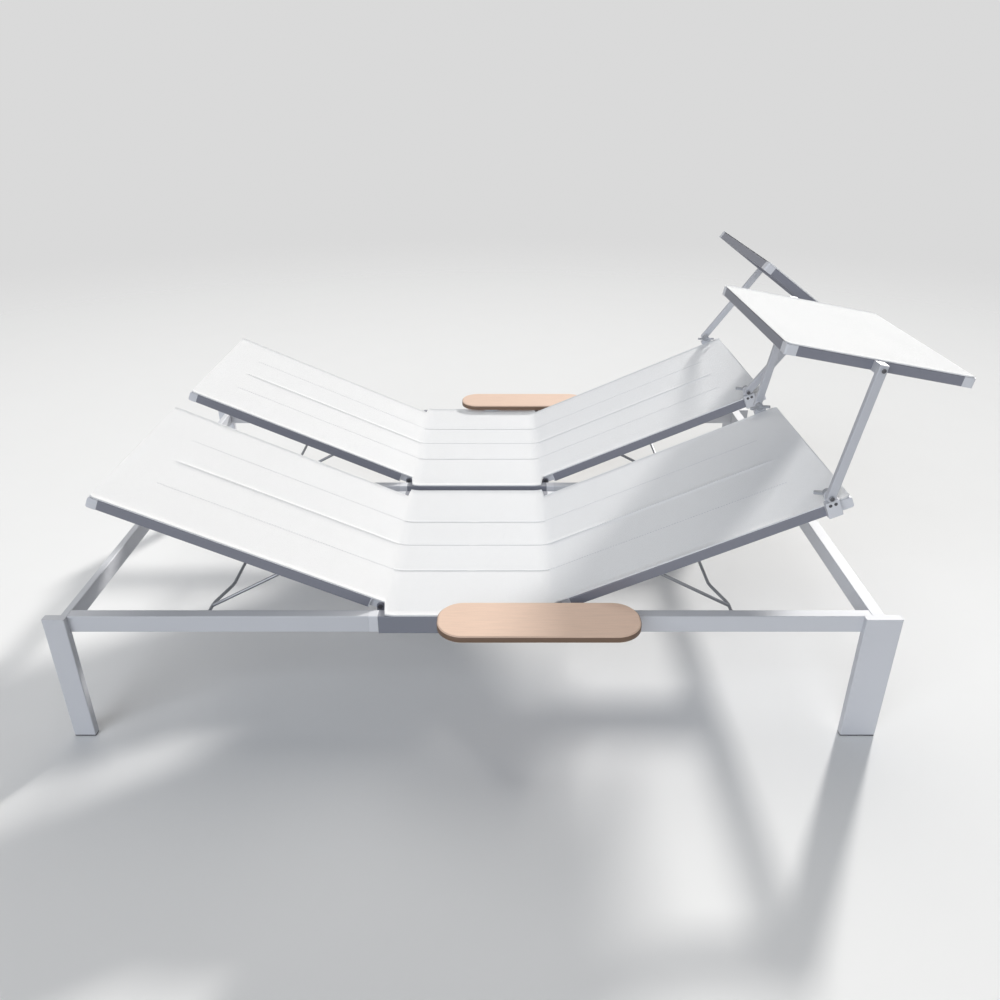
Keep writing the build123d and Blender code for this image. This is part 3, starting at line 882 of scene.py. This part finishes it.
@dataclass
class SeamThread:
    """A row of lockstitches along each seam of a cloth."""

    cloth: Cloth
    name: str
    pitch: float = 7.0 * MM
    length: float = 4.6 * MM
    radius: float = 0.38 * MM
    sides: int = 5
    girths: tuple[tuple[float, float], ...] = ((0.0, 0.35), (0.18, 1.0), (0.82, 1.0), (1.0, 0.35))

    def place(self, along: float, across: float) -> Vector:
        """Finds the point of the seam's crest at a distance along the cloth.

        Args:
            along: The distance from the tip.
            across: The distance from the middle line.

        Returns:
            The point on top of the cloth.
        """
        cloth, stations = self.cloth, self.cloth.stations
        after = next(place for place, item in enumerate(stations) if item.along >= along)
        low, high = stations[max(after - 1, 0)], stations[after]
        gap = high.along - low.along
        share = (along - low.along) / gap if gap else 0.0
        point, up = low.point.lerp(high.point, share), low.up.lerp(high.up, share)
        half = low.half_width + (high.half_width - low.half_width) * share
        height = cloth.lift + cloth.thickness - cloth.dip(across, half) + cloth.seam_lift(across, along)
        top = point + up.normalized() * height
        return Vector((top.x, cloth.centre_y + across, top.z))

    def stitch(self, along: float, across: float) -> Skin:
        """Makes one stitch, thinner at both ends.

        Args:
            along: Where it starts along the cloth.
            across: The distance of its seam from the middle line.

        Returns:
            The points and the faces.
        """
        round_it = [Vector((0, math.cos(angle), math.sin(angle))) * self.radius
                    for angle in full_turn(self.sides)]
        return loft([[self.place(along + part * self.length, across) + out * girth for out in round_it]
                     for part, girth in self.girths])

    def build(self, start: float, end: float) -> bpy.types.Object:
        """Builds the stitches of every seam as one object.

        Args:
            start: Where the stitches start along the cloth.
            end: Where they end.

        Returns:
            The stitches.
        """
        count = int((end - start) / self.pitch)
        skins = (self.stitch(start + step * self.pitch, seam)
                 for seam in self.cloth.seams for step in range(count))
        return make_piece(self.name, *gather(skins), THREAD)


@dataclass
class SlingHalf:
    """The half of a place's sling that one hinged section carries, out to the middle of the seat."""

    place: Place
    half: Half
    tip_end: ClothEnd = SLING_END
    ring_step: float = 14 * MM
    crease_panel: float = 30 * MM
    crease_seat: float = 46 * MM
    crease_pull: float = 0.42
    crease_steps: int = 22
    widening: float = 3 * MM
    edge_drop: float = 1.0 * MM
    bend_reach: float = 26 * MM
    seam_shares: tuple[float, ...] = (-0.46, 0.0, 0.46)
    seam_margin: float = 95 * MM
    stitch_gaps: tuple[float, float] = (4 * MM, 6 * MM)

    def __post_init__(self) -> None:
        """Reads the section's hinge, slope and sizes from the frame."""
        side, section = self.place.value, self.half.value
        hinge = joint(f"{section}_hinge_{side}")
        self.hinge = Vector(hinge["pos_m"])
        self.sign = -1 if self.half is Half.LEG else 1
        slope = math.radians(-hinge["range_deg"][0])
        self.along = Vector((self.sign * math.cos(slope), 0, math.sin(slope)))
        self.up = Vector((-self.sign * math.sin(slope), 0, math.cos(slope)))
        self.node = f"{section}_sling_{side}"
        self.seat_node = f"seat_sling_{side}"
        self.tip = span(self.node, self.hinge, self.along)[1]
        self.base = span(self.node, self.hinge, self.up)[0]
        self.panel_half = span(self.node, self.hinge, ACROSS)[1]
        low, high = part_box(self.seat_node)
        self.seat_z = low.z
        self.seat_half = (high.y - low.y) / 2
        self.seat_middle = (low.x + high.x) / 2
        self.seat_edge = low.x if self.half is Half.LEG else high.x
        self.seat_start = self.hinge.x - self.sign * self.crease_seat

    def on_panel(self, reach: float) -> Vector:
        """Gives a point of the cloth's underside line on the section."""
        return self.hinge + self.along * reach + self.up * self.base

    def panel_stations(self) -> list[Station]:
        """Lays out the stations on the section, from its tip to the crease at the hinge.

        Returns:
            The stations in order.
        """
        gone = list(self.tip_end.steps)
        length = self.tip - self.crease_panel - gone[-1]
        count = int(length / self.ring_step)
        gone += [gone[-1] + length * step / count for step in range(1, count + 1)]
        return [self.tip_end.station(self.on_panel(self.tip - distance), self.up, distance, distance,
                                     self.panel_half) for distance in gone]

    def crease_stations(self, before: Station) -> list[Station]:
        """Bends the cloth from the section's slope to the level seat.

        Args:
            before: The last station on the section.

        Returns:
            The stations in order.
        """
        start, end = before.point, Vector((self.seat_start, before.point.y, self.seat_z))
        pull = (end - start).length * self.crease_pull
        first, last = start - self.along * pull, end + Vector((self.sign * pull, 0, 0))
        made, walked, behind = [], before.along, start
        for step in range(1, self.crease_steps + 1):
            part = step / self.crease_steps
            rest = 1 - part
            point = (start * rest ** 3 + first * 3 * rest ** 2 * part + last * 3 * rest * part ** 2
                     + end * part ** 3)
            walked += (point - behind).length
            heading = (point - behind).normalized()
            up = Vector((heading.z, 0, -heading.x)) * (1 if heading.x < 0 else -1)
            made.append(self.seat_station(point, up, walked))
            behind = point
        return made

    def level_stations(self, before: Station) -> list[Station]:
        """Lays out the stations on the seat, from the crease to its middle.

        Args:
            before: The last station of the crease.

        Returns:
            The stations in order.
        """
        length = self.seat_middle - self.seat_start
        count = int(abs(length) / self.ring_step)
        reach = [length * step / count for step in range(1, count + 1)]
        return [self.seat_station(Vector((self.seat_start + gone, before.point.y, self.seat_z)), UPWARDS,
                                  before.along + abs(gone)) for gone in reach]

    def seat_station(self, point: Vector, up: Vector, along: float) -> Station:
        """Makes a station near or on the seat, where the cloth widens past the hinge.

        Args:
            point: The point of the underside line.
            up: The up direction there.
            along: The distance from the tip.

        Returns:
            The station.
        """
        share = smooth((self.seat_edge - point.x) * self.sign / self.widening)
        half = self.panel_half + (self.seat_half - self.panel_half) * share
        return Station(point, up, along, half, seat_share=share)

    def build(self) -> None:
        """Builds the cloth and its stitches, and hides the CAD slings that they stand for."""
        side, section = self.place.value, self.half.value
        stations = self.panel_stations()
        stations += self.crease_stations(stations[-1])
        stations += self.level_stations(stations[-1])
        cloth = Cloth(f"sling_cloth_{section}_{side}", self.hinge.y, stations,
                      seams=tuple(share * self.panel_half for share in self.seam_shares),
                      seam_start=self.seam_margin, inner_half=self.panel_half)
        cloth.edge_drop = self.edge_drop if self.on_panel(0).z > self.seat_z else 0.0
        piece = cloth.build()
        tip_gap, middle_gap = self.stitch_gaps
        thread = SeamThread(cloth, f"seam_thread_{section}_{side}").build(
            self.seam_margin + tip_gap, stations[-1].along - middle_gap)
        for made in (piece, thread):
            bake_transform(made)
        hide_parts(self.node, self.seat_node)
        cloth.flat_area()


@dataclass
class Sunshade:
    """The cloth of a sunshade."""

    place: Place
    ends: ClothEnd = SHADE_END
    ring_step: float = 14 * MM
    thickness: float = 1.0 * MM
    bead: float = 1.5 * MM
    sag: float = 3.0 * MM
    sag_start: float = 20 * MM
    sag_ease: float = 90 * MM

    def __post_init__(self) -> None:
        """Reads the shade's slope and sizes from the frame."""
        side = self.place.value
        self.node = f"shade_fabric_{side}"
        self.up = broad_normal(self.node)
        self.along = Vector((self.up.z, 0, -self.up.x))
        self.pivot = Vector(joint(f"shade_tilt_{side}")["pos_m"])
        self.foot, self.head = span(self.node, self.pivot, self.along)
        self.base = span(self.node, self.pivot, self.up)[0]
        self.half_width = span(self.node, self.pivot, ACROSS)[1]

    def stations(self) -> list[Station]:
        """Lays out the stations from the shade's foot edge to its head edge.

        Returns:
            The stations in order.
        """
        length, edge = self.head - self.foot, list(self.ends.steps)
        plain = length - 2 * self.ends.corner
        count = int(plain / self.ring_step)
        middle = [self.ends.corner + plain * step / count for step in range(1, count)]
        made = []
        for gone in edge + middle + [length - step for step in reversed(edge)]:
            near = min(gone, length - gone)
            point = self.pivot + self.along * (self.foot + gone) + self.up * self.base
            made.append(self.ends.station(point, self.up, gone, near, self.half_width))
            made[-1].sag_share = smooth((near - self.sag_start) / self.sag_ease)
        return made

    def build(self) -> None:
        """Builds the shade's cloth."""
        side = self.place.value
        cloth = Cloth(f"shade_cloth_{side}", self.pivot.y, self.stations(), thickness=self.thickness,
                      bead=self.bead, sag=self.sag, finish=SHADE_CLOTH)
        piece = cloth.build()
        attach(piece, f"sunshade_{side}")
        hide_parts(self.node)
        cloth.flat_area()


@dataclass
class SideTable:
    """The edge band of a side table's board."""

    place: Place
    corner: float = 60 * MM
    arc_steps: int = 24
    band: float = 0.9 * MM
    ease: float = 0.5 * MM
    overlap: float = 0.2 * MM
    top_gap: float = 2.6 * MM
    low_gap: float = 0.8 * MM

    def outline(self, grow: float, height: float) -> list[Vector]:
        """Draws the table's outline, grown by a distance.

        Args:
            grow: The distance outwards.
            height: The outline's height.

        Returns:
            The outline's points in order.
        """
        low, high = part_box(f"table_top_{self.place.value}")
        middle, reach = (low + high) / 2, (high - low) / 2
        corner = min(reach.y, self.corner)
        made = []
        for side_x, side_y, first in ((1, 1, 0), (-1, 1, 90), (-1, -1, 180), (1, -1, 270)):
            centre_x = middle.x + side_x * (reach.x - corner)
            centre_y = middle.y + side_y * (reach.y - corner)
            for step in range(self.arc_steps + 1):
                angle = math.radians(first + 90 * step / self.arc_steps)
                made.append(Vector((centre_x + (corner + grow) * math.cos(angle),
                                    centre_y + (corner + grow) * math.sin(angle), height)))
        return made

    def build(self) -> None:
        """Builds the band round the board's edge."""
        side = self.place.value
        low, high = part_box(f"table_top_{side}")
        bottom, top = low.z + self.low_gap, high.z - self.top_gap
        eased, inner = self.band - self.ease, -self.overlap
        rows = ((inner, bottom), (eased, bottom), (self.band, bottom + self.ease),
                (self.band, top - self.ease), (eased, top), (inner, top))
        rings = [self.outline(grow, height) for grow, height in rows]
        piece = make_piece(f"table_edge_band_{side}", *loft(rings, around=True), TABLE_EDGE)
        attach(piece, f"side_table_{side}")


@dataclass(frozen=True)
class Screw:
    """A button-head screw with a hexagon socket, on a thin washer."""

    radius: float
    height: float
    washer_share: float = 1.3
    washer_height: float = 0.5 * MM
    socket_share: float = 0.5
    sides: int = 24

    def reach(self, share: float | None, angle: float) -> float:
        """Gives the distance from the axis to the outline.

        Args:
            share: The outline's share of the head's radius, or None on the hexagon socket.
            angle: The direction from the axis.

        Returns:
            The distance.
        """
        if share is not None:
            return self.radius * share
        sixth = math.radians(60)
        return self.radius * self.socket_share / math.cos(angle % sixth - sixth / 2)

    def skin(self, seat: Vector, out: Vector) -> Skin:
        """Turns the screw's outline about its axis.

        Args:
            seat: The middle of the face that it sits on.
            out: The direction that the head points in.

        Returns:
            The points and the faces.
        """
        side = out.orthogonal().normalized()
        other = out.cross(side)
        wide, low, tall = self.washer_share, self.washer_height, self.height
        washer = ((wide, 0.0), (wide, low * 0.8), (wide * 0.97, low))
        head = ((1.0, low), (1.0, low + tall * 0.3), (0.93, low + tall * 0.7), (0.76, low + tall))
        socket = ((None, low + tall), (None, low + tall * 0.35))
        return loft([[seat + out * height
                      + (side * math.cos(angle) + other * math.sin(angle)) * self.reach(share, angle)
                      for angle in full_turn(self.sides)] for share, height in washer + head + socket])


@dataclass
class Fasteners:
    """The screws of a place's shade clamps, shade frame and table, and the rivets of its guides.

    A face is a distance from the place's middle line; the sharp angle is in degrees.
    """

    place: Place
    cheek_face: float = 299.6 * MM
    cheek_spread: float = 6.0 * MM
    cheek_drop: float = 19.5 * MM
    arm_face: float = 306.6 * MM
    arm_reach: float = 298.0 * MM
    knob_face: float = 307.1 * MM
    guide_face: float = 300.0 * MM
    guide_end: float = 6.5 * MM
    table_spread: float = 32.0 * MM
    bracket_spread: float = 120.0 * MM
    bracket_thickness: float = 3.0 * MM
    sharp_angle: float = 40.0
    small: Screw = Screw(3.0 * MM, 1.6 * MM)
    cap: Screw = Screw(4.4 * MM, 1.2 * MM, washer_share=1.15)
    rivet: Screw = Screw(2.4 * MM, 0.6 * MM, socket_share=0.25)

    def __post_init__(self) -> None:
        """Reads the pivot and the slope of the back rest and of the shade."""
        side = self.place.value
        hinge = joint(f"back_hinge_{side}")
        self.centre_y = hinge["pos_m"][1]
        slope = math.radians(-hinge["range_deg"][0])
        self.along = Vector((math.cos(slope), 0, math.sin(slope)))
        self.up = Vector((-math.sin(slope), 0, math.cos(slope)))
        self.pivot = Vector(joint(f"shade_tilt_{side}")["pos_m"])
        self.shade_up = broad_normal(f"shade_fabric_{side}")

    def fit(self, name: str, body: str, screw: Screw, places: Iterable[tuple[Vector, Vector]],
            finish: Finish = PIN_STEEL) -> None:
        """Builds one object from all the screws of a body.

        Args:
            name: The object's name.
            body: The body that it rides on.
            screw: The screw's sizes.
            places: The seat and the direction of each screw.
            finish: The finish that they take.
        """
        piece = make_piece(name, *gather(screw.skin(seat, out) for seat, out in places), finish)
        piece.data.set_sharp_from_angle(angle=math.radians(self.sharp_angle))
        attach(piece, body)

    def rivet_places(self) -> list[tuple[Vector, Vector]]:
        """Finds the rivets at the ends of the stays' guides.

        Returns:
            The seat and the direction of each.
        """
        made = []
        for node in ("leg_stay_guides", "back_stay_guides"):
            low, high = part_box(node)
            for x in (low.x + self.guide_end, high.x - self.guide_end):
                made += [(Vector((x, self.centre_y - out.y * self.guide_face, (low.z + high.z) / 2)), out)
                         for out in (-ACROSS, ACROSS)]
        return made

    def build(self) -> None:
        """Fits the screws and the rivets."""
        side = self.place.value
        outs = (-ACROSS, ACROSS)
        cheek = self.pivot - self.up * self.cheek_drop
        self.fit(f"cheek_screws_{side}", f"back_rest_{side}", self.small,
                 [(cheek + self.along * spread + out * self.cheek_face, out)
                  for out in outs for spread in (-self.cheek_spread, self.cheek_spread)])
        head = self.pivot + self.shade_up * self.arm_reach
        self.fit(f"shade_bolt_sockets_{side}", f"sunshade_{side}", self.cap,
                 [(head + out * self.arm_face, out) for out in outs])
        for hand, out in zip(("left", "right"), outs):
            self.fit(f"knob_socket_{side}_{hand}", f"wing_knob_{side}_{hand}", self.cap,
                     [(self.pivot + out * self.knob_face, out)])
        self.fit(f"guide_rivets_{side}", "base", self.rivet, self.rivet_places(), PLATED_STEEL)
        low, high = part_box(f"table_top_{side}")
        middle = (low + high) / 2
        under = low.z - self.bracket_thickness
        self.fit(f"table_screws_{side}", f"side_table_{side}", self.small,
                 [(Vector((middle.x + reach, middle.y + spread, under)), -UPWARDS)
                  for reach in (-self.bracket_spread, self.bracket_spread)
                  for spread in (-self.table_spread, self.table_spread)])


@dataclass(frozen=True)
class Lamp:
    """An even soft light that shines from a direction; its angles are in degrees."""

    name: str
    height: float
    side: float
    softness: float
    strength: float
    colour: Colour

    def hang(self) -> None:
        """Hangs the lamp at its height, turned to its side from the head end past the far place."""
        data = bpy.data.lights.new(self.name, "SUN")
        data.energy, data.color = self.strength, self.colour
        data.angle = math.radians(self.softness)
        made = bpy.data.objects.new(self.name, data)
        bpy.context.scene.collection.objects.link(made)
        height, side = math.radians(self.height), math.radians(self.side)
        flat = math.cos(height)
        towards = Vector((flat * math.cos(side), flat * math.sin(side), math.sin(height)))
        made.rotation_euler = towards.to_track_quat("Z", "Y").to_euler()
        LOG.info("hung %s", self.name)


WARM_WHITE = (1.0, 0.98, 0.94)
COOL_WHITE = (0.9, 0.945, 1.0)


@dataclass
class Studio:
    """The floor, the light and the camera of the photograph's setting."""

    floor_reach: float = 16.0
    floor_sides: int = 32
    floor_drop: float = 0.1 * MM
    lamps: tuple[Lamp, ...] = (Lamp("key_light", 24.3, 61, 5.5, 3.5, WARM_WHITE),
                               Lamp("back_light", 60, 90, 50, 1.05, WARM_WHITE),
                               Lamp("front_light", 25, -120, 50, 1.7, COOL_WHITE),
                               Lamp("side_light", 60, -60, 50, 0.3, COOL_WHITE))
    sky_strength: float = 0.06
    sky_colour: Colour = (0.9, 0.94, 1.0)
    wall_colour: Colour = (0.7, 0.7, 0.7)
    lens_mm: float = 30.24
    sensor_mm: float = 36.0
    clip_start: float = 0.05
    camera_place: tuple[float, float, float] = (-0.0133, -2.307, 1.474)
    camera_dip: float = 26.75

    def build_stage(self) -> None:
        """Builds the round floor, which fades into the backdrop's tone far off."""
        points = [Vector((math.cos(angle), math.sin(angle), 0)) * self.floor_reach
                  - UPWARDS * self.floor_drop for angle in full_turn(self.floor_sides)]
        make_piece("studio_floor", points, [range(self.floor_sides)], FLOOR_PAINT)

    def build_sky(self) -> None:
        """Sets the even light all round, and the backdrop's tone that the camera sees."""
        world = bpy.data.worlds.new("studio_world")
        bpy.context.scene.world = world
        world.use_nodes = True
        nodes = world.node_tree.nodes
        tree = ShaderTree(world.node_tree, nodes["World Output"])
        light = tree.fill(nodes["Background"], {"Color": self.sky_colour, "Strength": self.sky_strength})
        wall = tree.add("Background", Color=self.wall_colour)
        rays = tree.add("LightPath").outputs
        seen = tree.math("MAXIMUM", rays["Is Camera Ray"], rays["Is Glossy Ray"])
        mix = tree.add("MixShader")
        for target, source in zip(mix.inputs, (seen, light.outputs[0], wall.outputs[0])):
            tree.feed(target, source)
        tree.put(Surface=mix.outputs[0])

    def build_camera(self) -> None:
        """Places the camera at the photograph's angle."""
        data = bpy.data.cameras.new("camera")
        data.lens, data.sensor_width, data.clip_start = self.lens_mm, self.sensor_mm, self.clip_start
        made = bpy.data.objects.new("camera", data)
        bpy.context.scene.collection.objects.link(made)
        made.location = self.camera_place
        made.rotation_euler = (math.radians(90 - self.camera_dip), 0.0, 0.0)
        bpy.context.scene.camera = made


def main() -> None:
    """Builds the camera, the finishes, the cloths, the small parts and the studio, in order."""
    logging.basicConfig(level=logging.INFO, format="%(message)s")
    studio = Studio()
    studio.build_camera()
    dress_cad_nodes()
    for place in Place:
        for half in Half:
            SlingHalf(place, half).build()
        Sunshade(place).build()
        SideTable(place).build()
        Fasteners(place).build()
    studio.build_stage()
    for lamp in studio.lamps:
        lamp.hang()
    studio.build_sky()
    bpy.context.scene.view_settings.view_transform = "Standard"
    bpy.context.view_layer.update()


if __name__ == "__main__":
    main()
